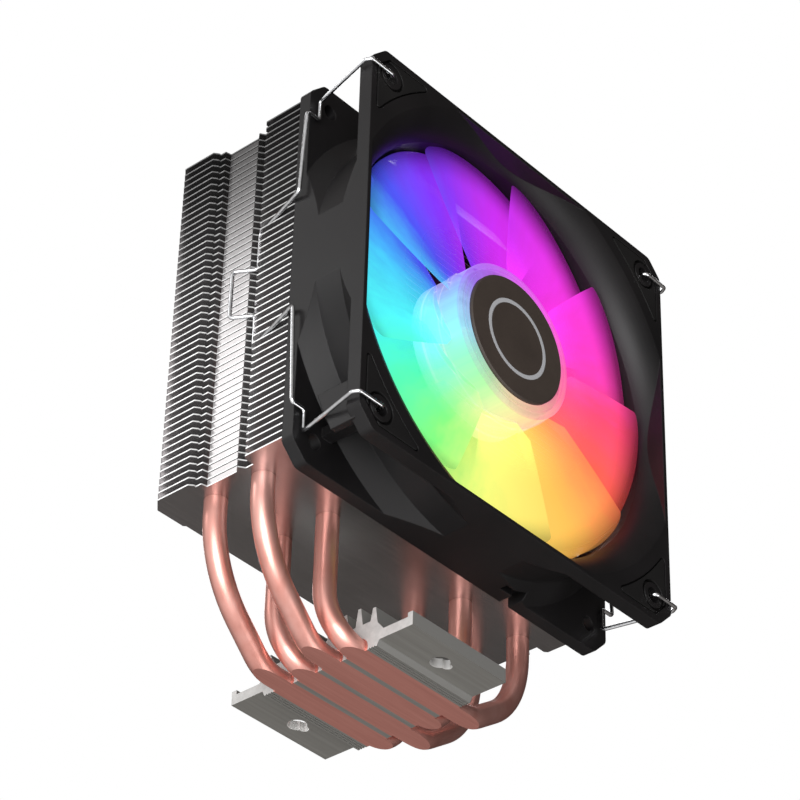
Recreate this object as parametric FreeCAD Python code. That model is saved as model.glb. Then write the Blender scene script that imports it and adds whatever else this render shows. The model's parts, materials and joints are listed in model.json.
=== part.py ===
import FreeCAD, Part
import math
import os

# CPU tower cooler: a direct-contact base with four copper heat pipes, a stack of thin
# aluminium fins and a 120 mm fan held on the front of the fins by two spring wire clips.
#
# Frame: millimetres, +Z up. The origin is the centre of the polished underside of the base.
# The fan is on the -Y side and blows towards +Y. The heat pipes run along X in the base.

V = FreeCAD.Vector
X_AXIS = V(1, 0, 0)
Y_AXIS = V(0, 1, 0)

# ---------------------------------------------------------------- driving dimensions (mm)

# heat pipes
PIPE_R = 3.0
PIPE_PITCH = 8.1            # between neighbouring pipes in the base
PIPE_AXIS_Z = 1.1           # height of a pipe's axis inside the base
PRESSED_HALF_WIDTH = 3.55   # pipes are pressed slightly oval inside the base
PRESSED_HALF_HEIGHT = 3.15
PIPE_ROW_Y = 8.1            # the pipes rise through the fins in two rows
OUTER_RISE_X = 48.6
INNER_RISE_X = 25.4
OUTER_KNEE = (24.7, 17.8)   # x of the lower corner, z of the upper corner
INNER_KNEE = (20.8, 11.0)
OUTER_BEND_R = (14.5, 28.5)  # at the lower corner, at the upper corner
INNER_BEND_R = (8.0, 20.0)
PIPE_TOP_Z = 149.4
PIPE_TAPER = 3.6
PIPE_NIB_R = 1.1
PIPE_NIB_LENGTH = 1.2

# base
BASE_HALF_X = 17.4
BASE_SKIRT_Y = 18.6
EAR_TIP_Y = 30.1
EAR_BOTTOM_Z = 1.5
EAR_TOP_Z = 4.2
EAR_LIP_Z = 5.4
EAR_LIP_WIDTH = 1.6
EAR_HOLE_Y = 23.8
EAR_HOLE_R = 2.6
EAR_LOBE_R = 1.3
EAR_ROOT_GAP = 3.2          # between the last spike and the ear's upper face
SKIRT_SLOPE = 0.8
OUTER_VALLEY_DROP = 1.2
RIDGE_PITCH = 0.8           # fine grooves under the root of each ear
RIDGE_WIDTH = 0.4
RIDGE_DEPTH = 0.25
RIDGE_COUNT = 3
SPIKE_Y = (3.2, 8.0, 12.6, 17.5)
SPIKE_TIP_Z = (12.8, 12.8, 12.8, 11.3)
SPIKE_ROOT_WIDTH = 2.4
SPIKE_TIP_WIDTH = 0.9
VALLEY_Z = 7.8

# fins
FIN_COUNT = 51
FIN_T = 0.4
FIN_BOTTOM_Z = 37.2
FIN_TOP_Z = 144.8
FIN_PITCH = (FIN_TOP_Z - FIN_T - FIN_BOTTOM_Z) / (FIN_COUNT - 1)
FIN_HALF_X = 58.0
FIN_FRONT_Y = -24.9
FIN_REAR_Y = 21.5
FIN_REAR_LIP_Y = 22.1
FIN_REAR_LIP_X = 46.0
FIN_BEVEL = 3.0
RECESS_X = 54.5             # side recess, closed by folded tabs
RECESS_REAR_Y = 5.4
NOTCH_Y = (-10.0, -7.4)     # notch that takes the wire clip
NOTCH_X = 54.2
REAR_NOTCH_Y = (5.8, 7.6)
REAR_NOTCH_X = 56.2
PIPE_HOLE_R = PIPE_R + 0.05
TAB_SEAM = 0.3              # open seam above each folded tab
TAB_T = 0.4
NOTCH_BEVEL = 0.8
REAR_NOTCH_BEVEL = (1.2, 1.0)
LIP_SLOPE = 0.6
TOOTH = (55.9, -6.2)        # a tooth behind the notch keeps the wire in it
TAB_START_Y = -4.6

# fan frame
FAN_HALF = 60.0
FAN_FRONT_Y = -49.9
FAN_REAR_Y = FIN_FRONT_Y
FAN_MID_Z = 89.0
FRONT_FLANGE = 4.1
REAR_FLANGE = 3.6
CORNER_CUT = 5.0
CORNER_ROUND = 2.5
DUCT_WALL_R = 60.9
DUCT_FRONT_R = 63.9
DUCT_REAR_R = 65.8
DUCT_WALL_DEPTH = (8.3, 16.4)   # the straight part of the duct's outside, from the front
BORE_R = 58.0
BORE_DEPTH = (7.5, 18.0)        # the straight part of the air path, from the front
INLET_R = 64.8
INLET_MIDDLE = (59.9, 3.4)      # radius and depth halfway round the bell mouth
OUTLET_R = 61.5
INSIDE_HALF = 58.8          # the round openings are cut off flat by the side walls
SCREW_OFFSET = 52.5
SCREW_HOLE_R = 2.2
GUIDE_OUTLINE = ((-58.4, 31.9), (-56.6, 31.9), (-46.5, 41.5), (-49.0, 44.0), (-58.4, 44.0))
GUIDE_REAR = ((-39.4, 31.9), (-34.6, 44.0))    # y and z at the two ends of its slanted rear edge
GUIDE_ARM_X = (-50.0, -46.5)
GUIDE_ARM_Z = (39.2, 42.0)
STRUT_ANGLES = (-70.0, 20.0, 110.0, 200.0)
STRUT_WIDTH = 5.0
STATOR_PLATE_R = 20.5
STATOR_PLATE_Y = (-27.9, -25.3)
STRUT_Y = (-27.7, -25.3)
OUTLET_MOUTH_X = (21.0, 24.4)   # cable outlet in the bottom edge of the rear flange
OUTLET_SLOT_X = (16.4, 22.5)
OUTLET_SLOT_Y = (-31.2, -29.0)
OUTLET_DEPTH = 3.4

# corner pads, set flush into the frame's faces
PAD_T = 1.2
PAD_OUTER = 57.6
PAD_INNER = 36.6
PAD_ARC_R = 69.0
PAD_GAP = 0.45
PAD_HOLE_R = 4.4
PAD_RIM_R = 3.6
PAD_CORNER_R = 0.6

# impeller
HUB_R = 21.8
HUB_FRONT_Y = -47.5
HUB_REAR_Y = -31.2
HUB_WALL = 1.3
HUB_FACE_T = 1.8
HUB_BEVEL = 0.8
HUB_GROOVE_R = (20.2, 19.7)
HUB_GROOVE_DEPTH = 0.35
BADGE_R = 18.0
BADGE_FRONT_Y = -48.2
BADGE_SEAT = 0.8
BADGE_BEVEL = 0.35
BLADE_COUNT = 9
BLADE_FRONT_Y = -45.0
BLADE_REAR_Y = -36.6
BLADE_T = 1.4
BLADE_TIP_R = 57.0
BLADE_ROOT_FRONT_Y = -43.0      # the blades start further back at the hub
BLADE_SHOULDER = (27.0, -44.6)  # radius and y where the front edges level out
BLADE_TIP_ROUND = 3.6           # the tips' front corners are rounded
# for four stations along a blade: radius, share of the pitch it fills, camber, forward sweep
BLADE_STATIONS = (
    (19.0, 1.84, 0.6, 0.0),
    (32.0, 1.84, 1.0, 1.5),
    (46.0, 1.82, 1.4, 4.0),
    (60.0, 1.80, 1.8, 8.0),
)

# motor
SHAFT_R = 1.5
SHAFT_Y = (HUB_FRONT_Y + 1.2, -27.2)
SHAFT_CLEARANCE = 0.04
SHAFT_GROOVE_R = 1.15
SHAFT_CLIP_R = 2.4
SHAFT_CLIP_Y = (-28.1, -27.6)
SLEEVE_R = 2.8
SLEEVE_Y = (-42.4, -28.4)
HOUSING_R = 4.3
HOUSING_FRONT_Y = -43.0
CAP_T = 0.8
YOKE_R = 20.3
YOKE_T = 0.8
YOKE_REAR_Y = -31.8
MAGNET_R = (19.4, 17.4)
MAGNET_Y = (-43.9, -32.4)
CORE_R = 16.6
CORE_RING_R = 7.4
CORE_Y = (-42.5, -35.5)
SHOE_T = 2.2
SHOE_HALF = 9.5
POLE_HALF = 2.0
POLE_COUNT = 4
COIL_X = (8.2, 13.2)
COIL_T = 2.6
COIL_OVERHANG = 1.8
BOARD_R = 19.8
BOARD_Y = (-30.6, -29.2)
LED_COUNT = 6
LED_RADII = (15.2, 17.8)
LED_HALF = 1.4
LED_HEIGHT = 1.1

# wire clips
WIRE_R = 0.55
WIRE_BEND_R = 1.0
WIRE_CLEARANCE = 0.3        # between the wire and the frame beside it
HOOK_DEPTH = 3.5            # how far the wire's ends reach into the fan's holes
HOOK_RUN = 6.4              # length of the short run in front of the rear flange
CLIP_MID_Z = FIN_BOTTOM_Z + FIN_PITCH * 25 + FIN_T / 2
CLIP_GAP_OFFSET = FIN_PITCH * 8.5   # the wire enters the gap between two fins
CLIP_LOOP_Z = (CLIP_MID_Z + 6.6, CLIP_MID_Z - 8.2)
CLIP_LOOP_REACH = (-58.9, -2.9)     # x and y of the finger loop's outer run
CLIP_CORNER_RUN = 1.7       # length of the short run around the front flange's edge
CLIP_SPREAD = 0.9           # how far the runs beside the fan stand out further
CLIP_SIDE_DRIFT = 1.4       # how far the run beside the rear flange slants back
CLIP_FLANGE_X = -57.3
CLIP_NOTCH_X = -55.5


# ---------------------------------------------------------------- helpers

def cylinder_y(radius, y0, y1, x=0.0, z=FAN_MID_Z):
    return Part.makeCylinder(radius, y1 - y0, V(x, y0, z), Y_AXIS)


def ring_y(outer, inner, y0, y1):
    return cylinder_y(outer, y0, y1).cut(cylinder_y(inner, y0 - 1.0, y1 + 1.0))


def turned_y(profile):
    """A solid turned about the fan's axis from a closed list of (radius, y) points."""
    points = [V(r, y, FAN_MID_Z) for r, y in profile]
    face = Part.Face(Part.makePolygon(points + points[:1]))
    return face.revolve(V(0, 0, FAN_MID_Z), Y_AXIS, 360)


def prism_y(points, y0, y1):
    corners = [V(x, y0, z) for x, z in points]
    return Part.Face(Part.makePolygon(corners + corners[:1])).extrude(V(0, y1 - y0, 0))


def prism_z(points, z0, height):
    corners = [V(x, y, z0) for x, y in points]
    return Part.Face(Part.makePolygon(corners + corners[:1])).extrude(V(0, 0, height))


def box(x0, x1, y0, y1, z0, z1):
    return Part.makeBox(x1 - x0, y1 - y0, z1 - z0, V(x0, y0, z0))


def square_block(half, y0, y1):
    """A block with a square face, centred on the fan's axis."""
    return box(-half, half, y0, y1, FAN_MID_Z - half, FAN_MID_Z + half)


def turned_about_fan(shape, angle):
    copy = shape.copy()
    copy.rotate(V(0, 0, FAN_MID_Z), Y_AXIS, angle)
    return copy


def mirrored_x(shape):
    return shape.mirror(V(0, 0, 0), X_AXIS)


def edges_along_y(shape):
    return [e for e in shape.Edges if abs(e.tangentAt(e.FirstParameter).y) > 0.99]


def fused(shapes):
    return shapes[0].multiFuse(shapes[1:]).removeSplitter()


def rounded_path(points, radii):
    """Straight runs joined by tangent arcs, one radius for each inner point."""
    edges = []
    start = points[0]
    for i, radius in enumerate(radii, 1):
        corner = points[i]
        back = (points[i - 1] - corner).normalize()
        ahead = (points[i + 1] - corner).normalize()
        half = back.getAngle(ahead) / 2
        reach = radius / math.tan(half)
        bisector = (back + ahead).normalize()
        middle = corner + bisector * (radius / math.sin(half) - radius)
        first = corner + back * reach
        last = corner + ahead * reach
        edges.append(Part.LineSegment(start, first).toShape())
        edges.append(Part.Arc(first, middle, last).toShape())
        start = last
    edges.append(Part.LineSegment(start, points[-1]).toShape())
    return Part.Wire(edges)


def tube(points, radii, radius):
    """A round rod along a rounded path."""
    path = rounded_path(points, radii)
    along = points[1] - points[0]
    section = Part.Wire(Part.makeCircle(radius, points[0], along))
    return path.makePipeShell([section], True, False)


def save(name, shape):
    shape.exportStep("parts/" + name + ".step")
    print(name, len(shape.Solids), "solids", round(shape.Volume / 1000, 2), "cm3", shape.isValid())


# ---------------------------------------------------------------- heat pipes

def pressed_bar(strip_y, half_length):
    """The oval stretch of a pipe that is pressed into the base."""
    centre = V(-half_length, strip_y, PIPE_AXIS_Z)
    wide = centre + V(0, PRESSED_HALF_WIDTH, 0)
    high = centre + V(0, 0, PRESSED_HALF_HEIGHT)
    oval = Part.Ellipse(wide, high, centre)
    return Part.Face(Part.Wire(oval.toShape())).extrude(V(2 * half_length, 0, 0))


def rise(side, rise_x, row_y, strip_y, knee):
    """The two upper points of one leg, from the top down."""
    top = V(side * rise_x, row_y, PIPE_TOP_Z - PIPE_TAPER)
    upper = V(side * rise_x, row_y, knee[1])
    lower = V(side * knee[0], strip_y, PIPE_AXIS_Z)
    return [top, upper, lower]


def closed_tip(x, y):
    """The swaged, sealed end of a pipe."""
    z = PIPE_TOP_Z - PIPE_TAPER
    cone_height = PIPE_TAPER - PIPE_NIB_LENGTH
    cone = Part.makeCone(PIPE_R, PIPE_NIB_R, cone_height, V(x, y, z))
    nib = Part.makeCylinder(PIPE_NIB_R, PIPE_NIB_LENGTH, V(x, y, z + cone_height))
    return cone.fuse(nib)


def heat_pipe(strip_y, row_y, outer_side):
    """One pipe. It rises near the fins' edge on outer_side and further in on the other."""
    outer = rise(outer_side, OUTER_RISE_X, row_y, strip_y, OUTER_KNEE)
    inner = rise(-outer_side, INNER_RISE_X, row_y, strip_y, INNER_KNEE)
    points = outer + inner[::-1]
    radii = [OUTER_BEND_R[1], OUTER_BEND_R[0], INNER_BEND_R[0], INNER_BEND_R[1]]
    pieces = [
        tube(points, radii, PIPE_R),
        pressed_bar(strip_y, BASE_HALF_X),
        closed_tip(outer_side * OUTER_RISE_X, row_y),
        closed_tip(-outer_side * INNER_RISE_X, row_y),
    ]
    whole = pieces[0].multiFuse(pieces[1:])
    return whole.cut(box(-60, 60, -40, 40, -10, 0))


# for each pipe, from the rear: y in the base, y in the fins, side of its outer leg
PIPE_LAYOUT = [
    (1.5 * PIPE_PITCH, PIPE_ROW_Y, -1),
    (0.5 * PIPE_PITCH, PIPE_ROW_Y, 1),
    (-0.5 * PIPE_PITCH, -PIPE_ROW_Y, -1),
    (-1.5 * PIPE_PITCH, -PIPE_ROW_Y, 1),
]


# ---------------------------------------------------------------- base block

def base_outline():
    """Half of the extrusion's cross-section, as (y, z) points, for y >= 0."""
    points = [(0, 0), (BASE_SKIRT_Y, 0), (BASE_SKIRT_Y + SKIRT_SLOPE, EAR_BOTTOM_Z)]
    points += [(EAR_TIP_Y, EAR_BOTTOM_Z), (EAR_TIP_Y, EAR_LIP_Z)]
    points += [(EAR_TIP_Y - EAR_LIP_WIDTH, EAR_LIP_Z), (EAR_TIP_Y - EAR_LIP_WIDTH, EAR_TOP_Z)]
    points += [(SPIKE_Y[-1] + EAR_ROOT_GAP, EAR_TOP_Z)]
    for y, tip_z in reversed(list(zip(SPIKE_Y, SPIKE_TIP_Z))):
        root_z = VALLEY_Z if y < SPIKE_Y[-1] else VALLEY_Z - OUTER_VALLEY_DROP
        points += [(y + SPIKE_ROOT_WIDTH / 2, root_z), (y + SPIKE_TIP_WIDTH / 2, tip_z)]
        points += [(y - SPIKE_TIP_WIDTH / 2, tip_z), (y - SPIKE_ROOT_WIDTH / 2, VALLEY_Z)]
    return points + [(0, VALLEY_Z)]


def base_block():
    corners = [V(-BASE_HALF_X, y, z) for y, z in base_outline()]
    half = Part.Face(Part.makePolygon(corners + corners[:1])).extrude(V(2 * BASE_HALF_X, 0, 0))
    body = fused([half, half.mirror(V(0, 0, 0), Y_AXIS)])
    cuts = [heat_pipe(*layout) for layout in PIPE_LAYOUT]
    beyond = BASE_HALF_X + 1
    for side in (-1, 1):
        y = side * EAR_HOLE_Y
        cuts.append(Part.makeCylinder(EAR_HOLE_R, EAR_LIP_Z, V(0, y, 0)))
        cuts.append(Part.makeCylinder(EAR_LOBE_R, EAR_LIP_Z, V(EAR_HOLE_R, y, 0)))
        for k in range(RIDGE_COUNT):
            y = side * (BASE_SKIRT_Y - RIDGE_PITCH * (k + 0.9))
            half = RIDGE_WIDTH / 2
            cuts.append(box(-beyond, beyond, y - half, y + half, -1, RIDGE_DEPTH))
    return body.cut(Part.makeCompound(cuts))


# ---------------------------------------------------------------- fins

def fin_outline():
    """Outline of one fin, as (x, y) points, for x >= 0, from the front middle round to the rear."""
    return [
        (0, FIN_FRONT_Y),
        (FIN_HALF_X, FIN_FRONT_Y),
        (FIN_HALF_X, NOTCH_Y[0] - NOTCH_BEVEL),
        (FIN_HALF_X - NOTCH_BEVEL, NOTCH_Y[0]),
        (NOTCH_X, NOTCH_Y[0]),
        (NOTCH_X, NOTCH_Y[1]),
        TOOTH,
        (RECESS_X, TAB_START_Y),
        (RECESS_X, RECESS_REAR_Y),
        (REAR_NOTCH_X, REAR_NOTCH_Y[0]),
        (REAR_NOTCH_X, REAR_NOTCH_Y[1]),
        (FIN_HALF_X - REAR_NOTCH_BEVEL[0], REAR_NOTCH_Y[1]),
        (FIN_HALF_X, REAR_NOTCH_Y[1] + REAR_NOTCH_BEVEL[1]),
        (FIN_HALF_X, FIN_REAR_LIP_Y - FIN_BEVEL),
        (FIN_HALF_X - FIN_BEVEL, FIN_REAR_LIP_Y),
        (FIN_REAR_LIP_X, FIN_REAR_LIP_Y),
        (FIN_REAR_LIP_X - LIP_SLOPE, FIN_REAR_Y),
        (0, FIN_REAR_Y),
    ]


def fin_plate():
    right = fin_outline()
    left = [(-x, y) for x, y in reversed(right) if x > 0]
    plate = prism_z(right + left, 0, FIN_T)
    holes = []
    for x in (-OUTER_RISE_X, -INNER_RISE_X, INNER_RISE_X, OUTER_RISE_X):
        for y in (-PIPE_ROW_Y, PIPE_ROW_Y):
            holes.append(Part.makeCylinder(PIPE_HOLE_R, FIN_T + 2, V(x, y, -1)))
    return plate.cut(Part.makeCompound(holes))


def fin_tabs():
    """Tabs folded up along the side recess. They close the gap to the next fin."""
    top = FIN_PITCH - TAB_SEAM
    wall = box(RECESS_X - TAB_T, RECESS_X, TAB_START_Y, RECESS_REAR_Y, FIN_T / 2, top)
    return [wall, mirrored_x(wall)]


def fins(first, last):
    plate = fin_plate()
    tabbed = fused([plate] + fin_tabs())
    solids = []
    for k in range(first, last):
        fin = (tabbed if k < FIN_COUNT - 1 else plate).copy()
        fin.translate(V(0, 0, FIN_BOTTOM_Z + k * FIN_PITCH))
        solids.append(fin.Solids[0])
    return Part.makeCompound(solids)


# ---------------------------------------------------------------- fan frame

def octagon(half, cut):
    near = half - cut
    signs = [(1, 1), (-1, 1), (-1, -1), (1, -1)]
    points = []
    for sx, sz in signs:
        pair = [(sx * half, FAN_MID_Z + sz * near), (sx * near, FAN_MID_Z + sz * half)]
        points += pair if sx * sz > 0 else pair[::-1]
    return points


def flange(y0, y1):
    plate = prism_y(octagon(FAN_HALF, CORNER_CUT), y0, y1)
    return plate.makeFillet(CORNER_ROUND, edges_along_y(plate))


def duct_outside():
    front = FAN_FRONT_Y + FRONT_FLANGE
    rear = FAN_REAR_Y - REAR_FLANGE
    inside = HUB_R
    profile = [(inside, front - 1), (DUCT_FRONT_R, front - 1), (DUCT_FRONT_R, front)]
    profile += [(DUCT_WALL_R, FAN_FRONT_Y + depth) for depth in DUCT_WALL_DEPTH]
    profile += [(DUCT_REAR_R, rear), (DUCT_REAR_R, rear + 1), (inside, rear + 1)]
    return turned_y(profile).common(square_block(FAN_HALF, FAN_FRONT_Y, FAN_REAR_Y))


def duct_inside():
    """The air path: bell-mouthed inlet, bore and flared outlet, cut off flat by the side walls."""

    def at(radius, depth):
        return V(radius, FAN_FRONT_Y + depth, FAN_MID_Z)

    length = FAN_REAR_Y - FAN_FRONT_Y
    bell = Part.Arc(at(INLET_R, 0), at(*INLET_MIDDLE), at(BORE_R, BORE_DEPTH[0]))
    corners = [at(BORE_R, BORE_DEPTH[0]), at(BORE_R, BORE_DEPTH[1]), at(OUTLET_R, length)]
    corners += [at(OUTLET_R, length + 1), at(0, length + 1), at(0, -1), at(INLET_R, -1), at(INLET_R, 0)]
    edges = [bell.toShape()]
    edges += [Part.LineSegment(a, b).toShape() for a, b in zip(corners[:-1], corners[1:])]
    air = Part.Face(Part.Wire(edges)).revolve(V(0, 0, FAN_MID_Z), Y_AXIS, 360)
    return air.common(square_block(INSIDE_HALF, FAN_FRONT_Y - 2, FAN_REAR_Y + 2))


def corner_signs():
    return [(sx, sz) for sx in (-1, 1) for sz in (-1, 1)]


def screw_place(sx, sz):
    return sx * SCREW_OFFSET, FAN_MID_Z + sz * SCREW_OFFSET


def pad_blank(sx, sz, grow, y0, y1):
    """The corner area between the frame's edges and the opening, at one corner."""
    outer = PAD_OUTER + grow
    inner = PAD_INNER - grow
    cut = CORNER_CUT * PAD_OUTER / FAN_HALF
    corners = [(inner, outer), (outer - cut, outer), (outer, outer - cut), (outer, inner), (inner, inner)]
    shape = prism_y([(sx * x, FAN_MID_Z + sz * z) for x, z in corners], y0, y1)
    shape = shape.cut(cylinder_y(PAD_ARC_R - grow, y0 - 1, y1 + 1))
    return shape.makeFillet(PAD_CORNER_R + grow, edges_along_y(shape))


def corner_pad(sx, sz, y0, y1):
    blank = pad_blank(sx, sz, 0, y0, y1)
    return blank.cut(cylinder_y(PAD_HOLE_R, y0 - 1, y1 + 1, *screw_place(sx, sz)))


def corner_pads(y0, y1):
    return Part.makeCompound([corner_pad(sx, sz, y0, y1) for sx, sz in corner_signs()])


def pad_recess(sx, sz, y0, y1):
    blank = pad_blank(sx, sz, PAD_GAP, y0, y1)
    return blank.cut(cylinder_y(PAD_RIM_R, y0 - 1, y1 + 1, *screw_place(sx, sz)))


def strut(angle):
    """One arm from the motor plate to the duct's wall, ending inside the wall."""
    half = STRUT_WIDTH / 2
    y0, y1 = STRUT_Y
    bar = box(STATOR_PLATE_R - 2, OUTLET_R + 1, y0, y1, FAN_MID_Z - half, FAN_MID_Z + half)
    return turned_about_fan(bar, -angle).common(square_block(INSIDE_HALF + 0.6, y0, y1))


def cable_guide():
    """A rib in the lower left corner with an arm that reaches the rear flange."""
    y0 = FAN_FRONT_Y + FRONT_FLANGE - 1
    (y1, z1), (y2, z2) = GUIDE_REAR
    side = [V(-FAN_HALF, y, z) for y, z in ((y0, z1), (y1, z1), (y2, z2), (y0, z2))]
    slanted = Part.Face(Part.makePolygon(side + side[:1])).extrude(V(FAN_HALF, 0, 0))
    rib = prism_y(GUIDE_OUTLINE, y0, y2).common(slanted)
    arm = box(*GUIDE_ARM_X, y0, FAN_REAR_Y - 1, *GUIDE_ARM_Z)
    return fused([rib, arm])


def fan_frame():
    front, rear = FAN_FRONT_Y, FAN_REAR_Y
    bodies = [flange(front, front + FRONT_FLANGE), flange(rear - REAR_FLANGE, rear), duct_outside()]
    shell = fused(bodies + [cable_guide()]).cut(duct_inside())
    motor_plate = cylinder_y(STATOR_PLATE_R, *STATOR_PLATE_Y)
    shell = fused([shell, motor_plate] + [strut(a) for a in STRUT_ANGLES])
    cuts = [cylinder_y(HOUSING_R, STATOR_PLATE_Y[0] - 1, STATOR_PLATE_Y[1] + 1)]
    for sx, sz in corner_signs():
        cuts.append(cylinder_y(SCREW_HOLE_R, front - 1, rear + 1, *screw_place(sx, sz)))
        cuts.append(pad_recess(sx, sz, front - 1, front + PAD_T))
        cuts.append(pad_recess(sx, sz, rear - PAD_T, rear + 1))
    return shell.cut(Part.makeCompound(cuts)).cut(cable_outlet())


def cable_outlet():
    """An L-shaped slot in the rear flange's bottom edge, where the fan's lead leaves the duct."""
    z0 = FAN_MID_Z - FAN_HALF - 1
    z1 = z0 + 1 + OUTLET_DEPTH
    mouth = box(*OUTLET_MOUTH_X, OUTLET_SLOT_Y[0], FAN_REAR_Y + 1, z0, z1)
    side = box(*OUTLET_SLOT_X, *OUTLET_SLOT_Y, z0, z1)
    return fused([mouth, side])


# ---------------------------------------------------------------- impeller and motor

def blade_section(x, half, camber, sweep):
    """A thin cambered section in the plane of constant x. half is its reach along Z each way."""
    lead = V(x, BLADE_FRONT_Y, FAN_MID_Z + sweep - half)
    trail = V(x, BLADE_REAR_Y, FAN_MID_Z + sweep + half)
    middle = (lead + trail) * 0.5
    normal = V(0, trail.z - lead.z, lead.y - trail.y).normalize()
    outer = Part.Arc(lead, middle + normal * (camber + BLADE_T / 2), trail)
    inner = Part.Arc(trail, middle + normal * (camber - BLADE_T / 2), lead)
    return Part.Wire([outer.toShape(), inner.toShape()])


def blade_envelope():
    """The space that the turning blades sweep. It gives them their rounded tips and short roots."""

    def at(radius, y):
        return V(radius, y, FAN_MID_Z)

    root_r = HUB_R - HUB_WALL / 2
    turn = BLADE_TIP_ROUND
    halfway = turn * (1 - math.sqrt(0.5))
    tip_start = at(BLADE_TIP_R - turn, BLADE_FRONT_Y)
    tip_end = at(BLADE_TIP_R, BLADE_FRONT_Y + turn)
    tip = Part.Arc(tip_start, at(BLADE_TIP_R - halfway, BLADE_FRONT_Y + halfway), tip_end)
    corners = [tip_end, at(BLADE_TIP_R, BLADE_REAR_Y), at(root_r, BLADE_REAR_Y)]
    corners += [at(root_r, BLADE_ROOT_FRONT_Y), at(*BLADE_SHOULDER), tip_start]
    edges = [tip.toShape()]
    edges += [Part.LineSegment(a, b).toShape() for a, b in zip(corners[:-1], corners[1:])]
    return Part.Face(Part.Wire(edges)).revolve(V(0, 0, FAN_MID_Z), Y_AXIS, 360)


def blade():
    share = 2 * math.pi / BLADE_COUNT
    sections = []
    for x, fill, camber, sweep in BLADE_STATIONS:
        sections.append(blade_section(x, x * share * fill / 2, camber, sweep))
    return mirrored_x(Part.makeLoft(sections, True, False).common(blade_envelope()))


def hub_cup():
    """The hub: closed in front, with a seat for the badge and a blind hole for the shaft."""
    front = HUB_FRONT_Y
    seat_r = BADGE_R + 0.2
    inner = HUB_R - HUB_WALL
    profile = [(0, front + BADGE_SEAT), (seat_r, front + BADGE_SEAT), (seat_r, front)]
    profile += [(HUB_R - HUB_BEVEL, front), (HUB_R, front + HUB_BEVEL), (HUB_R, HUB_REAR_Y)]
    profile += [(inner, HUB_REAR_Y), (inner, front + HUB_FACE_T), (SHAFT_R, front + HUB_FACE_T)]
    profile += [(SHAFT_R, SHAFT_Y[0]), (0, SHAFT_Y[0])]
    groove = ring_y(*HUB_GROOVE_R, front - 1, front + HUB_GROOVE_DEPTH)
    return turned_y(profile).cut(groove)


def impeller():
    one = blade()
    blades = [turned_about_fan(one, k * 360.0 / BLADE_COUNT) for k in range(BLADE_COUNT)]
    return hub_cup().multiFuse(blades)


def hub_badge():
    rear = HUB_FRONT_Y + BADGE_SEAT
    edge = BADGE_BEVEL
    return turned_y([(0, BADGE_FRONT_Y), (BADGE_R - edge, BADGE_FRONT_Y), (BADGE_R, BADGE_FRONT_Y + edge),
                     (BADGE_R, rear), (0, rear)])


def rotor_yoke():
    front = HUB_FRONT_Y + HUB_FACE_T
    can = ring_y(YOKE_R, YOKE_R - YOKE_T, front, YOKE_REAR_Y)
    face = ring_y(YOKE_R, SHAFT_R + 1.0, front, front + YOKE_T)
    return fused([can, face])


def magnet_ring():
    return ring_y(*MAGNET_R, *MAGNET_Y)


def shaft():
    groove = ring_y(SHAFT_R + 1, SHAFT_GROOVE_R, *SHAFT_CLIP_Y)
    return cylinder_y(SHAFT_R, *SHAFT_Y).cut(groove)


def shaft_clip():
    """The snap ring that keeps the rotor in its bearing."""
    opening = box(0, SHAFT_CLIP_R + 1, *SHAFT_CLIP_Y, FAN_MID_Z - 0.7, FAN_MID_Z + 0.7)
    return ring_y(SHAFT_CLIP_R, SHAFT_GROOVE_R, *SHAFT_CLIP_Y).cut(opening)


def bearing_housing():
    return ring_y(HOUSING_R, SLEEVE_R, HOUSING_FRONT_Y, STATOR_PLATE_Y[1])


def bearing_sleeve():
    return ring_y(SLEEVE_R, SHAFT_R + SHAFT_CLEARANCE, *SLEEVE_Y)


def bearing_cap():
    return cylinder_y(SLEEVE_R, STATOR_PLATE_Y[1] - CAP_T, STATOR_PLATE_Y[1])


def stator_core():
    """Laminated poles with curved shoes, on a ring that grips the bearing housing."""
    y0, y1 = CORE_Y
    wedge = box(0, CORE_R + 1, y0, y1, FAN_MID_Z - SHOE_HALF, FAN_MID_Z + SHOE_HALF)
    shoe = ring_y(CORE_R, CORE_R - SHOE_T, y0, y1).common(wedge)
    web = box(CORE_RING_R - 1, CORE_R - 1.5, y0, y1, FAN_MID_Z - POLE_HALF, FAN_MID_Z + POLE_HALF)
    pole = fused([web, shoe])
    poles = [turned_about_fan(pole, 360.0 / POLE_COUNT * k) for k in range(POLE_COUNT)]
    return fused([ring_y(CORE_RING_R, HOUSING_R, y0, y1)] + poles)


def stator_coils():
    y0, y1 = CORE_Y
    wide = POLE_HALF + COIL_T
    outer = box(*COIL_X, y0 - COIL_OVERHANG, y1 + COIL_OVERHANG, FAN_MID_Z - wide, FAN_MID_Z + wide)
    pole = box(0, CORE_R, y0, y1, FAN_MID_Z - POLE_HALF, FAN_MID_Z + POLE_HALF)
    coil = outer.cut(pole)
    coils = [turned_about_fan(coil, 360.0 / POLE_COUNT * k) for k in range(POLE_COUNT)]
    return Part.makeCompound(coils)


def circuit_board():
    return ring_y(BOARD_R, HOUSING_R + 0.2, *BOARD_Y)


def leds():
    """Light-emitting chips on the board, under the open rear edge of the hub."""
    y1 = BOARD_Y[0]
    chip = box(*LED_RADII, y1 - LED_HEIGHT, y1, FAN_MID_Z - LED_HALF, FAN_MID_Z + LED_HALF)
    step = 360.0 / LED_COUNT
    return Part.makeCompound([turned_about_fan(chip, step * (k + 0.5)) for k in range(LED_COUNT)])


# ---------------------------------------------------------------- wire clips

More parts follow.
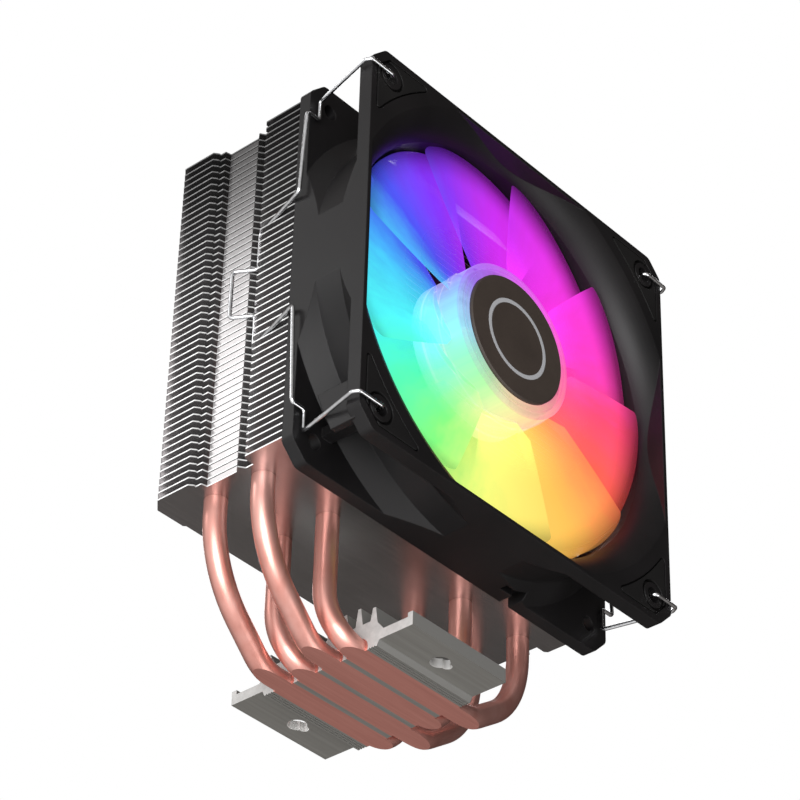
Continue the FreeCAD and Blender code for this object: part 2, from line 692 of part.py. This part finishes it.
def clip_half(hole_z, hook_z, gap_z, loop_z):
    """Route of the left clip from one end to the finger loop."""
    reach = WIRE_R + WIRE_CLEARANCE
    front_y = FAN_FRONT_Y - reach
    flange_y = FAN_REAR_Y - REAR_FLANGE - reach
    side_x = -FAN_HALF - reach
    notch_y = (NOTCH_Y[0] + NOTCH_Y[1]) / 2
    return [
        V(-SCREW_OFFSET, FAN_FRONT_Y + HOOK_DEPTH, hole_z),
        V(-SCREW_OFFSET, front_y, hole_z),
        V(side_x, front_y, hole_z),
        V(side_x - CLIP_SPREAD, front_y + CLIP_CORNER_RUN, hole_z),
        V(CLIP_FLANGE_X, flange_y, hole_z),
        V(CLIP_FLANGE_X, flange_y, hook_z),
        V(side_x - CLIP_SPREAD, flange_y, hook_z),
        V(side_x - CLIP_SPREAD, flange_y + CLIP_SIDE_DRIFT, gap_z),
        V(CLIP_NOTCH_X, notch_y, gap_z),
        V(CLIP_NOTCH_X, notch_y, loop_z),
        V(*CLIP_LOOP_REACH, loop_z),
    ]


def clip_points():
    high_hole = FAN_MID_Z + SCREW_OFFSET
    low_hole = FAN_MID_Z - SCREW_OFFSET
    offset = CLIP_GAP_OFFSET
    upper = clip_half(high_hole, high_hole - HOOK_RUN, CLIP_MID_Z + offset, CLIP_LOOP_Z[0])
    lower = clip_half(low_hole, low_hole + HOOK_RUN, CLIP_MID_Z - offset, CLIP_LOOP_Z[1])
    return upper + lower[::-1]


def left_clip():
    points = clip_points()
    return tube(points, [WIRE_BEND_R] * (len(points) - 2), WIRE_R)


# ---------------------------------------------------------------- write every sub-part

os.makedirs("parts", exist_ok=True)

save("base_block", base_block())
for number, layout in enumerate(PIPE_LAYOUT, 1):
    save("heat_pipe_" + str(number), heat_pipe(*layout))
third = FIN_COUNT // 3
save("fins_lower", fins(0, third))
save("fins_middle", fins(third, 2 * third))
save("fins_upper", fins(2 * third, FIN_COUNT))

save("fan_frame", fan_frame())
save("corner_pads_front", corner_pads(FAN_FRONT_Y, FAN_FRONT_Y + PAD_T))
save("corner_pads_rear", corner_pads(FAN_REAR_Y - PAD_T, FAN_REAR_Y))
save("bearing_housing", bearing_housing())
save("bearing_sleeve", bearing_sleeve())
save("stator_core", stator_core())
save("stator_coils", stator_coils())
save("bearing_cap", bearing_cap())
save("circuit_board", circuit_board())
save("leds", leds())

save("impeller", impeller())
save("hub_badge", hub_badge())
save("rotor_yoke", rotor_yoke())
save("magnet_ring", magnet_ring())
save("shaft", shaft())
save("shaft_clip", shaft_clip())

clip = left_clip()
save("clip_left", clip)
save("clip_right", mirrored_x(clip))
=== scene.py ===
import json
import math
import bpy
from mathutils import Matrix, Vector


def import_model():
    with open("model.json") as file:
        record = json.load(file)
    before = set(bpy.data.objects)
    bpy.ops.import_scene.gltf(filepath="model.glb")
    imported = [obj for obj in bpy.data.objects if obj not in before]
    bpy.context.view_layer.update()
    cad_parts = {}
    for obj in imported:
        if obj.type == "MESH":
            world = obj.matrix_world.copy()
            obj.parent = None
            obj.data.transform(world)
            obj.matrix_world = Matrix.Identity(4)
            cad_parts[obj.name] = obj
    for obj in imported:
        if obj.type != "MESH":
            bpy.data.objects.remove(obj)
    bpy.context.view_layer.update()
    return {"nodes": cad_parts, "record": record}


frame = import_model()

NODES = frame["nodes"]
scene = bpy.context.scene

# Lengths are in metres, in the CAD frame. The fan's axis runs along Y at FAN_MID_Z.
FAN_MID_Z = 0.089
FIN_BOTTOM_Z = 0.0372
FIN_PITCH = 0.002144
# Painted shade on the fins: their colour darkens from the first height to the second.
FIN_PAINTED_SHADE_FROM_Z = 0.075
FIN_PAINTED_SHADE_TO_Z = 0.150
EAR_HOLE_Y = 0.0238
EAR_BORE_REACH = 0.0040  # from the hole's axis, far enough to take in its side lobe
HUB_FRONT_Y = -0.0475
HUB_REAR_Y = -0.0312
HUB_R = 0.0218
HUB_RING_Y = -0.0404
BLADE_FRONT_Y = -0.0450
BLADE_ROOT_R = 0.026
BLADE_SOLID_R = 0.046    # from here out a blade hides most of what is behind it
BLADE_TIP_R = 0.0570
GLOW_FULL_R = 0.0460
GLOW_END_R = 0.0580
BADGE_RING_R = 0.0101

# Shares, from 0 to 1.
CUT_EDGE_SHARE = 0.19    # of the pitch: the cut edge of one fin
BLADE_ROOT_ALPHA = 0.30
BLADE_ALPHA = 0.92
BLADE_TIP_SHARE = 0.35   # of the alpha: what is left of it at the very tip
HUB_ALPHA = 0.75
REAR_GLOW = 0.3          # of the glow: what the faces turned to the rear give off
TIP_GLOW = 0.03          # of the glow: what is left of it at GLOW_END_R

WHITE = "#ffffff"


def tint(text):
    """Linear colour from the usual six-digit notation."""
    parts = [int(text[i:i + 2], 16) / 255 for i in (1, 3, 5)]
    linear = [c / 12.92 if c <= 0.04045 else ((c + 0.055) / 1.055) ** 2.4 for c in parts]
    return (*linear, 1.0)


def as_colour(value):
    return tint(value) if isinstance(value, str) else value


# ---------------------------------------------------------------- node graphs

class Graph:
    """Shader nodes made by short calls. An input takes a value or another node's socket."""

    def __init__(self, tree):
        self.tree = tree
        self.tree.nodes.clear()

    def node(self, kind, values=None, **settings):
        made = self.tree.nodes.new(kind)
        for key, value in settings.items():
            setattr(made, key, value)
        for key, value in (values or {}).items():
            self.put(made.inputs[key], value)
        return made

    def put(self, socket, value):
        if isinstance(value, bpy.types.NodeSocket):
            self.tree.links.new(value, socket)
        else:
            socket.default_value = value

    def math(self, operation, *values, clamp=False):
        inputs = dict(enumerate(values))
        return self.node("ShaderNodeMath", inputs, operation=operation, use_clamp=clamp).outputs[0]

    def times(self, first, second):
        return self.math("MULTIPLY", first, second)

    def minus(self, first, second):
        return self.math("SUBTRACT", first, second)

    def plus(self, value, share, amount):
        """value, with that share of the amount added."""
        return self.math("MULTIPLY_ADD", share, amount, value)

    def between(self, share, start, end):
        return self.plus(start, share, end - start)

    def weighted(self, first, weight, second):
        return self.plus(self.times(second, 1.0 - weight), first, weight)

    def length(self, first, second):
        squares = self.math("ADD", self.times(first, first), self.times(second, second))
        return self.math("SQRT", squares)

    def span(self, value, low, high, to_low=0.0, to_high=1.0):
        """value from low..high carried over to to_low..to_high, with soft ends."""
        values = {"Value": value, "From Min": low, "From Max": high, "To Min": to_low, "To Max": to_high}
        return self.node("ShaderNodeMapRange", values, interpolation_type="SMOOTHSTEP").outputs[0]

    def band(self, value, low, high, soft):
        """1 between low and high, 0 outside, with soft edges on the inside."""
        return self.times(self.span(value, low, low + soft), self.span(value, high, high - soft))

    def ramp(self, value, stops):
        made = self.node("ShaderNodeValToRGB", {0: value})
        points = made.color_ramp.elements
        while len(points) < len(stops):
            points.new(0.5)
        for point, (place, colour) in zip(points, stops):
            point.position = place
            point.color = tint(colour)
        return made.outputs[0]

    def shades(self, value, dark, light, low=0.3):
        """From dark to light as value goes from low to 1 - low, which is where most noise lies."""
        return self.ramp(value, [(low, dark), (1.0 - low, light)])

    def blend(self, factor, first, second, how="MIX"):
        made = self.node("ShaderNodeMix", {"Factor": factor}, data_type="RGBA", blend_type=how)
        self.put(made.inputs[6], as_colour(first))
        self.put(made.inputs[7], as_colour(second))
        return made.outputs[2]

    def principled(self, values):
        return self.node("ShaderNodeBsdfPrincipled", values).outputs[0]

    def clear(self):
        return self.node("ShaderNodeBsdfTransparent").outputs[0]

    def mixed(self, share, first, second):
        return self.node("ShaderNodeMixShader", {0: share, 1: first, 2: second}).outputs[0]

    def seen_directly(self):
        return self.node("ShaderNodeLightPath").outputs["Is Camera Ray"]


class Material(Graph):
    """The graph of one material."""

    def __init__(self, name):
        self.data = bpy.data.materials.new(name)
        self.data.use_nodes = True
        super().__init__(self.data.node_tree)
        self.place = self.node("ShaderNodeTexCoord").outputs["Object"]

    def parts(self, vector):
        split = self.node("ShaderNodeSeparateXYZ", {0: vector})
        return split.outputs[0], split.outputs[1], split.outputs[2]

    def axes(self):
        """The point's place, as its three parts."""
        return self.parts(self.place)

    def facing(self):
        """The surface's own direction, as its three parts."""
        return self.parts(self.node("ShaderNodeNewGeometry").outputs["Normal"])

    def polar(self):
        """Distance from the fan's axis, and the angle round it from +X towards +Z, as a share of a turn."""
        x, _, z = self.axes()
        up = self.minus(z, FAN_MID_Z)
        turn = self.math("DIVIDE", self.math("ARCTAN2", up, x), 2 * math.pi)
        return self.length(x, up), self.wrapped(turn)

    def wrapped(self, turn):
        return self.math("FRACT", self.math("ADD", turn, 1.0))

    def stretched(self, x, y, z):
        return self.node("ShaderNodeMapping", {"Vector": self.place, "Scale": (x, y, z)}).outputs[0]

    def noise(self, scale, detail=3.0, roughness=0.55, vector=None):
        values = {"Vector": vector or self.place, "Scale": scale, "Detail": detail, "Roughness": roughness}
        return self.node("ShaderNodeTexNoise", values).outputs["Fac"]

    def bump(self, height, distance, strength, **other):
        values = {"Height": height, "Distance": distance, "Strength": strength, **other}
        return self.node("ShaderNodeBump", values).outputs[0]

    def surface(self, shader):
        self.node("ShaderNodeOutputMaterial", {"Surface": shader})


# ---------------------------------------------------------------- metals

def copper():
    """Drawn copper, and duller where the pipes are machined flat with the base."""
    m = Material("copper")
    _, _, z = m.axes()
    _, _, nz = m.facing()
    flat = m.times(m.span(z, 0.0001, 0.00003), m.span(nz, -0.9, -0.99))
    blotch = m.noise(90, 2, 0.5)
    streaks = m.noise(260, 3, 0.6, m.stretched(1, 1, 0.08))
    drawn = m.ramp(m.weighted(streaks, 0.5, blotch), [(0.3, "#cf8b7e"), (0.5, "#dd9f93"), (0.7, "#e8b1a6")])
    cut_lines = m.noise(900, 4, 0.7, m.stretched(0.03, 1, 1))
    cut = m.ramp(cut_lines, [(0.3, "#ac7267"), (0.5, "#b67a6f"), (0.7, "#be8377")])
    height = m.plus(streaks, flat, m.minus(cut_lines, streaks))
    m.surface(m.principled({
        "Base Color": m.blend(flat, drawn, cut),
        "Metallic": m.between(flat, 0.82, 0.45),
        "Roughness": m.plus(m.between(flat, 0.30, 0.45), blotch, 0.10),
        "Normal": m.bump(height, 0.0000064, 0.5)}))
    return m


def ear_bore(m, level):
    """The walls of the ears' screw holes."""
    x, y, _ = m.axes()
    away = m.length(x, m.minus(m.math("ABSOLUTE", y), EAR_HOLE_Y))
    near = m.span(away, EAR_BORE_REACH, EAR_BORE_REACH - 0.0002)
    return m.times(near, m.minus(1.0, level))


def base_aluminium():
    """Extruded aluminium: brushed along X on the level faces, bright on the sawn ends and in the bores."""
    m = Material("base_aluminium")
    nx, _, nz = m.facing()
    under = m.span(nz, -0.8, -0.95)
    ends = m.span(m.math("ABSOLUTE", nx), 0.8, 0.95)
    level = m.span(m.math("ABSOLUTE", nz), 0.9, 0.99)
    bore = ear_bore(m, level)
    lines = m.noise(1100, 4, 0.7, m.stretched(0.02, 1, 1))
    drawn = m.shades(lines, "#918f8a", "#a09e99")
    bright = m.shades(m.noise(500, 3, 0.6), "#b4b3b1", "#c6c5c3")
    colour = m.blend(ends, m.blend(under, "#83827f", drawn), bright)
    rough = m.plus(m.plus(0.50, lines, 0.12), level, -0.20)
    m.surface(m.principled({
        "Base Color": m.blend(bore, colour, "#e4e3e1"),
        "Metallic": m.plus(m.between(level, 0.40, 0.60), bore, 0.30),
        "Roughness": m.plus(rough, bore, -0.15),
        "Normal": m.bump(m.times(lines, level), 0.00002, 0.4)}))
    return m


def fin_aluminium():
    """Rolled sheet with paler cut edges. Painted shade darkens its colour towards the top of the stack."""
    m = Material("fin_aluminium")
    _, _, z = m.axes()
    nx, _, nz = m.facing()
    step = m.math("FRACT", m.math("DIVIDE", m.minus(z, FIN_BOTTOM_Z), FIN_PITCH))
    upright = m.span(m.math("ABSOLUTE", nz), 0.5, 0.3)
    edge = m.times(upright, m.math("LESS_THAN", step, CUT_EDGE_SHARE))
    tab = m.span(m.math("ABSOLUTE", nx), 0.9, 0.98)
    lowest = m.math("LESS_THAN", z, FIN_BOTTOM_Z + 0.0002)
    grain = m.noise(1500, 3, 0.6, m.stretched(0.05, 1, 1))
    cloud = m.noise(40, 2, 0.5)
    sheet = m.shades(m.weighted(grain, 0.4, cloud), "#a4a1a1", "#bcb9ba")
    cut = m.shades(m.noise(900, 3, 0.7), "#cfcfcf", "#ececec", 0.35)
    # Painted shade: sheets and cut edges are darkened towards the top of the stack, because the light falls
    # mostly on the lower fins.
    painted_shade = m.blend(m.span(z, FIN_PAINTED_SHADE_FROM_Z, FIN_PAINTED_SHADE_TO_Z), WHITE, "#7c7c7c")
    m.surface(m.principled({
        "Base Color": m.blend(1.0, m.blend(edge, sheet, cut), painted_shade, "MULTIPLY"),
        "Metallic": m.plus(m.between(lowest, 0.82, 1.0), m.math("MAXIMUM", edge, tab), -0.30),
        "Roughness": m.plus(m.plus(0.22, grain, 0.06), edge, 0.10),
        "Normal": m.bump(grain, 0.00001, 0.3)}))
    return m


def steel(name, dark, light, roughness, scale=700):
    m = Material(name)
    marks = m.noise(scale, 3, 0.6)
    m.surface(m.principled({
        "Base Color": m.shades(marks, dark, light),
        "Metallic": 1.0,
        "Roughness": m.plus(roughness, marks, 0.12),
        "Normal": m.bump(marks, 0.00002, 0.3)}))
    return m


def winding():
    m = Material("winding")
    values = {"Vector": m.place, "Scale": 700.0, "Distortion": 0.6}
    turns = m.node("ShaderNodeTexWave", values, bands_direction="DIAGONAL").outputs["Fac"]
    m.surface(m.principled({
        "Base Color": m.shades(turns, "#5c2412", "#b8622f", 0.2),
        "Metallic": 0.8,
        "Roughness": 0.35,
        "Normal": m.bump(turns, 0.0001, 0.8)}))
    return m


# ---------------------------------------------------------------- plastics

def moulded(name, dark, light, roughness, grain_depth):
    """Black moulded plastic or rubber with fine grain and softened corners."""
    m = Material(name)
    grain = m.noise(2600, 3, 0.6)
    cloud = m.noise(55, 3, 0.5)
    soft_corners = m.node("ShaderNodeBevel", {"Radius": 0.00035}, samples=4).outputs[0]
    m.surface(m.principled({
        "Base Color": m.shades(m.weighted(grain, 0.35, cloud), dark, light, 0.35),
        "Roughness": m.plus(roughness, cloud, 0.12),
        "Specular IOR Level": 0.35,
        "Normal": m.bump(grain, grain_depth, 0.6, Normal=soft_corners)}))
    return m


def badge():
    """Dark hub badge with one raised ring."""
    m = Material("badge")
    length, _ = m.polar()
    ring = m.band(length, BADGE_RING_R, BADGE_RING_R + 0.0014, 0.0002)
    grain = m.noise(1800, 3, 0.6)
    cloud = m.noise(60, 3, 0.6)
    face = m.shades(m.weighted(grain, 0.4, cloud), "#352d28", "#403731", 0.35)
    m.surface(m.principled({
        "Base Color": m.blend(ring, face, "#c4c5c9"),
        "Metallic": m.times(ring, 0.3),
        "Roughness": m.plus(m.plus(0.45, grain, 0.1), ring, -0.2),
        "Normal": m.bump(m.plus(ring, grain, 0.05), 0.0002, 0.5)}))
    return m


# Hues of the painted glow on the blades and hub, round the fan's axis.
GLOW = [
    (0.000, "#fa4870"), (0.083, "#f53ac4"), (0.167, "#e232de"), (0.250, "#c22ee4"), (0.333, "#8434ea"),
    (0.417, "#4654ea"), (0.490, "#46c6ea"), (0.555, "#4cecee"), (0.608, "#50f0b0"), (0.662, "#7cf07a"),
    (0.738, "#e6ea74"), (0.845, "#f3b852"), (0.935, "#f8604a"), (1.000, "#fa4870"),
]


def glow_colour(m, y, hub, hue):
    """The hue of the painted glow on the blades. On the hub it is paler, with a pink front and two bright
    rings.
    """
    barrel = m.blend(0.42, hue, WHITE)
    front = m.span(y, HUB_FRONT_Y + 0.0014, HUB_FRONT_Y + 0.0008)
    cup = m.blend(front, barrel, m.blend(0.45, hue, "#f68cf0"))
    rear_ring = m.band(y, HUB_REAR_Y - 0.0036, HUB_REAR_Y - 0.0024, 0.0004)
    front_ring = m.band(y, HUB_RING_Y, HUB_RING_Y + 0.0007, 0.0002)
    both = m.math("ADD", rear_ring, m.times(front_ring, 0.5))
    rings = m.math("MULTIPLY", hub, both, clamp=True)
    return m.blend(rings, m.blend(hub, hue, cup), WHITE)


def glow_rim(m, length):
    """The glow dies away towards the blades' tips, soonest at the upper right and at the rear. This fade is
    painted shade, from the duct's wall round the tips.
    """
    x, y, z = m.axes()
    across = m.math("DIVIDE", m.math("ADD", x, m.minus(z, FAN_MID_Z)), length)
    depth = m.minus(y, BLADE_FRONT_Y)
    # Painted shade: the reach grows towards the upper right, so the glow there is cut sooner.
    reach = m.plus(m.plus(length, depth, -0.6), across, 0.0022)
    return m.span(reach, GLOW_END_R, GLOW_FULL_R, TIP_GLOW, 1.0)


def glow_alpha(m, length, hub):
    """Blades are clearest at the root and at the tip."""
    root = m.span(length, BLADE_ROOT_R, BLADE_SOLID_R, BLADE_ROOT_ALPHA, BLADE_ALPHA)
    tip = m.span(length, BLADE_TIP_R, BLADE_TIP_R - 0.004, BLADE_TIP_SHARE, 1.0)
    return m.math("MAXIMUM", m.times(root, tip), m.times(hub, HUB_ALPHA))


def glow_power(m, length, hub, streak, alpha):
    """Strength of the glow. It makes up for what two layers of clear plastic let through."""
    _, ny, _ = m.facing()
    forward = m.span(ny, 0.4, -0.1, REAR_GLOW, 1.0)
    outer = m.times(glow_rim(m, length), forward)
    inner = m.times(m.between(streak, 0.85, 1.15), m.between(hub, 0.90, 0.72))
    layers = m.times(alpha, m.minus(2.0, alpha))
    return m.math("DIVIDE", m.times(outer, inner), layers)


def glow_plastic():
    """Clear tinted plastic lit from inside. Its colours go round the fan's axis. The glow is painted on:
    emission on the blades and hub stands in for the light of the fan's LEDs.
    """
    m = Material("glow_plastic")
    _, y, _ = m.axes()
    length, turn = m.polar()
    hub = m.span(length, HUB_R + 0.0006, HUB_R + 0.0001)
    spokes = m.node("ShaderNodeCombineXYZ", {0: m.times(turn, 9.0), 1: m.times(length, 12.0)}).outputs[0]
    streak = m.noise(7, 3, 0.6, spokes)
    drift = m.plus(turn, m.minus(streak, 0.5), 0.035)
    hue = m.ramp(m.wrapped(drift), GLOW)
    alpha = glow_alpha(m, length, hub)
    shine = m.principled({
        "Base Color": m.blend(0.65, hue, "#101018"),
        "Roughness": 0.3,
        # Painted glow: emission stands in for the LEDs' light passing through the plastic.
        "Emission Color": glow_colour(m, y, hub, hue),
        "Emission Strength": glow_power(m, length, hub, streak, alpha),
        "Normal": m.bump(streak, 0.0002, 0.2)})
    m.surface(m.mixed(alpha, m.clear(), shine))
    return m


def led():
    m = Material("led")
    _, turn = m.polar()
    m.surface(m.principled({
        "Base Color": m.shades(m.noise(900, 2, 0.5), "#d8d8d0", "#f4f4ec"),
        "Roughness": 0.4,
        "Emission Color": m.ramp(turn, GLOW),
        "Emission Strength": 2.0}))
    return m


def board():
    m = Material("board")
    tracks = m.node("ShaderNodeTexBrick", {"Vector": m.place, "Scale": 260.0}).outputs["Fac"]
    mask = m.shades(m.noise(700, 2, 0.5), "#0a2414", "#123a20")
    m.surface(m.principled({
        "Base Color": m.blend(m.times(tracks, 0.4), mask, "#2c6b3e"),
        "Roughness": 0.35}))
    return m


SLOTS = {
    "base_aluminium": base_aluminium(),
    "copper": copper(),
    "fin_aluminium": fin_aluminium(),
    "black_plastic": moulded("black_plastic", "#0c0b0c", "#141213", 0.42, 0.00003),
    "black_rubber": moulded("black_rubber", "#0c0b0c", "#131212", 0.48, 0.00002),
    "bearing_metal": steel("bearing_metal", "#8d6f45", "#b3935f", 0.30),
    "motor_steel": steel("motor_steel", "#7c7d80", "#a4a5a8", 0.35),
    "winding": winding(),
    "board": board(),
    "led": led(),
    "glow_plastic": glow_plastic(),
    "badge": badge(),
    "bearing_steel": steel("bearing_steel", "#a6a7aa", "#c9cacd", 0.16),
    "wire_steel": steel("wire_steel", "#d4d5d8", "#f2f3f5", 0.08, 900),
}

for part in frame["record"]["subparts"]:
    node = NODES[part["node"]]
    node.data.materials.clear()
    node.data.materials.append(SLOTS[part["material_slot"]].data)


# ---------------------------------------------------------------- light

MIDDLE = (0, -0.01, 0.08)

# Name, place, target, width in metres, watts.
LIGHTS = [
    ("key", (-0.68, -0.40, -0.15), MIDDLE, 0.7, 6.5),
    ("side", (-0.36, 0.27, 0.33), (-0.04, 0, 0.06), 0.18, 0.25),
    ("under_right", (0.20, -0.42, -0.45), MIDDLE, 0.45, 1.1),
    ("above_right", (0.40, 0.45, 0.75), MIDDLE, 0.9, 7.5),
]

# What the surroundings give, from the side away from BRIGHT_SIDE to the side towards it.
BRIGHT_SIDE = (-0.75, -0.1, -0.35)
SURROUNDINGS = [
    (0.08, "#2a2827"), (0.20, "#383534"), (0.35, "#6c6865"),
    (0.50, "#8f8c8a"), (0.65, "#c9c8c7"), (0.85, "#ffffff"),
]

FLOOR_HALF = 1.5
FLOOR_Z = -0.0006        # just under the base, so that the two faces never share a plane


def world():
    """White behind the object. The light that falls on it comes mostly from the lower left."""
    made = bpy.data.worlds.new("studio")
    scene.world = made
    made.use_nodes = True
    g = Graph(made.node_tree)
    direction = g.node("ShaderNodeTexCoord").outputs["Generated"]
    along = g.node("ShaderNodeVectorMath", {0: direction, 1: BRIGHT_SIDE}, operation="DOT_PRODUCT")
    share = g.between(along.outputs["Value"], 0.5, 1.0)
    lit = g.node("ShaderNodeBackground", {"Color": g.ramp(share, SURROUNDINGS)}).outputs[0]
    seen = g.node("ShaderNodeBackground", {"Color": tint(WHITE)}).outputs[0]
    g.node("ShaderNodeOutputWorld", {"Surface": g.mixed(g.seen_directly(), lit, seen)})


def floor_paint():
    m = Material("floor")
    shade = m.shades(m.noise(30, 2), "#eae9e7", "#eeedeb")
    pale = m.principled({
        "Base Color": shade,
        "Roughness": 0.9,
        "Emission Color": shade,
        "Emission Strength": 0.25})
    front = m.minus(1.0, m.node("ShaderNodeNewGeometry").outputs["Backfacing"])
    m.surface(m.mixed(m.times(front, m.seen_directly()), m.clear(), pale))
    return m


def floor():
    """A pale floor that only shows from above, so that the object can also be seen from below."""
    mesh = bpy.data.meshes.new("floor")
    corners = [(-FLOOR_HALF, -FLOOR_HALF, 0), (FLOOR_HALF, -FLOOR_HALF, 0),
               (FLOOR_HALF, FLOOR_HALF, 0), (-FLOOR_HALF, FLOOR_HALF, 0)]
    mesh.from_pydata(corners, [], [(0, 1, 2, 3)])
    made = bpy.data.objects.new("floor", mesh)
    scene.collection.objects.link(made)
    made.location.z = FLOOR_Z
    mesh.materials.append(floor_paint().data)


def soft_light(name, place, target, width, watts):
    light = bpy.data.lights.new(name, "AREA")
    light.shape = "DISK"
    light.size = width
    light.energy = watts
    lamp = bpy.data.objects.new(name, light)
    scene.collection.objects.link(lamp)
    lamp.location = place
    lamp.rotation_euler = (Vector(target) - Vector(place)).to_track_quat("-Z", "Y").to_euler()


world()
floor()
for light_values in LIGHTS:
    soft_light(*light_values)


# ---------------------------------------------------------------- camera

CAMERA_PLACE = Vector((-0.48228, -0.4470, -0.39124))
CAMERA_TARGET = Vector((-0.03275, -0.0379, 0.05572))
CAMERA_ROLL = math.radians(1.6375)
LENS_MM = 138.4
SENSOR_MM = 36


def camera():
    """The photo's own angle, fitted to the fan's outline."""
    made = bpy.data.cameras.new("camera")
    made.sensor_width = SENSOR_MM
    made.lens = LENS_MM
    cam = bpy.data.objects.new("camera", made)
    scene.collection.objects.link(cam)
    forward = (CAMERA_TARGET - CAMERA_PLACE).normalized()
    right = forward.cross(Vector((0, 0, 1))).normalized()
    up = right.cross(forward)
    turned_right = right * math.cos(CAMERA_ROLL) + up * math.sin(CAMERA_ROLL)
    turned_up = up * math.cos(CAMERA_ROLL) - right * math.sin(CAMERA_ROLL)
    turned = Matrix((turned_right, turned_up, -forward)).transposed()
    cam.matrix_world = Matrix.Translation(CAMERA_PLACE) @ turned.to_4x4()
    scene.camera = cam


camera()
scene.view_settings.view_transform = "Standard"
